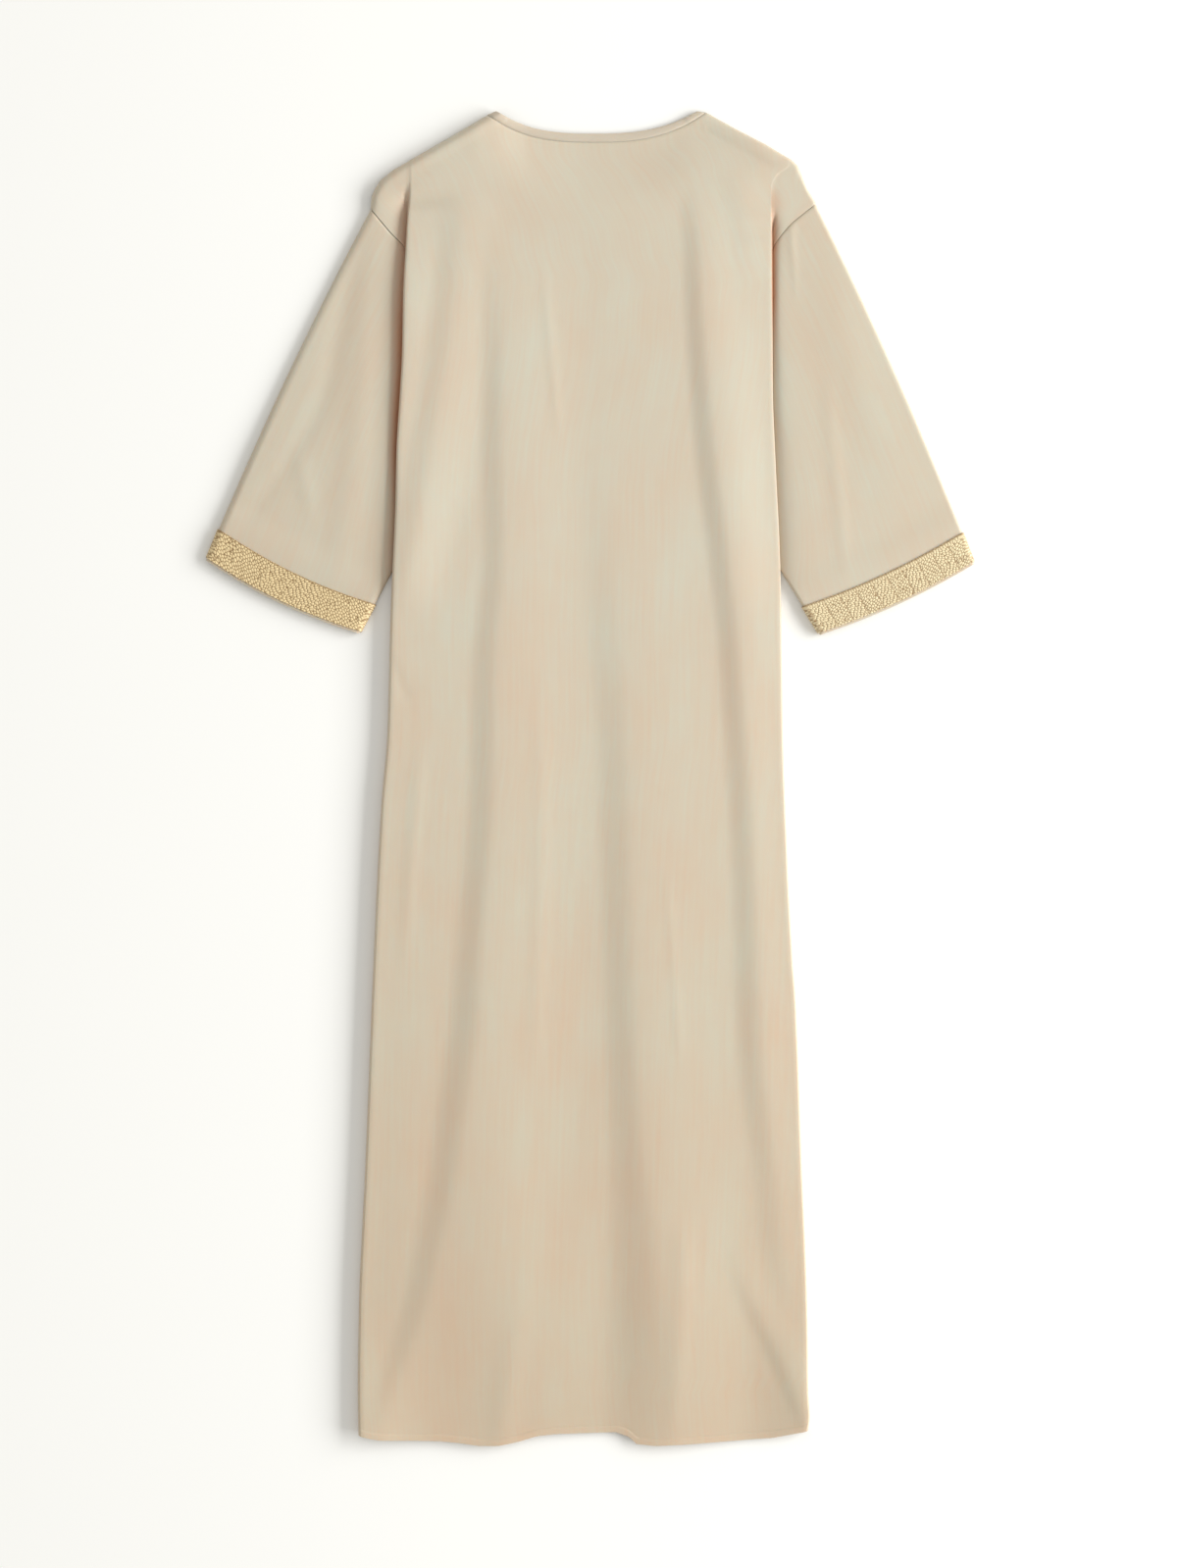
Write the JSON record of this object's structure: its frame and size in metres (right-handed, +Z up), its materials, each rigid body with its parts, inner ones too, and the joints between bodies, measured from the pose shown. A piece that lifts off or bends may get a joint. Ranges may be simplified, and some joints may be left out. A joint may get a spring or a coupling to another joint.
{
  "type": "thobe robe",
  "caption": "Long loose robe with round neck and wide three-quarter sleeves ending in braided bands, laid flat with its back up.",
  "frame": {"origin": "on the surface that the robe lies on, under the middle of its bounding box", "axes": "+Y towards the neck, -Y towards the hem, +Z up out of the surface, +X towards the sleeve on the right as seen from above with the neck at the top"},
  "size_m": [0.7846, 1.3604, 0.0157],
  "materials": {
    "cloth": "soft satin",
    "neck_band": "soft satin",
    "braid": "metallic thread"
  },
  "bodies": {
    "root": {"back_panel": "cloth", "front_panel": "cloth", "sleeve_left": "cloth", "sleeve_right": "cloth", "neck_binding_back": "neck_band", "neck_binding_front": "neck_band", "cuff_trim_left": "braid", "cuff_trim_right": "braid"}
  },
  "joints": []
}
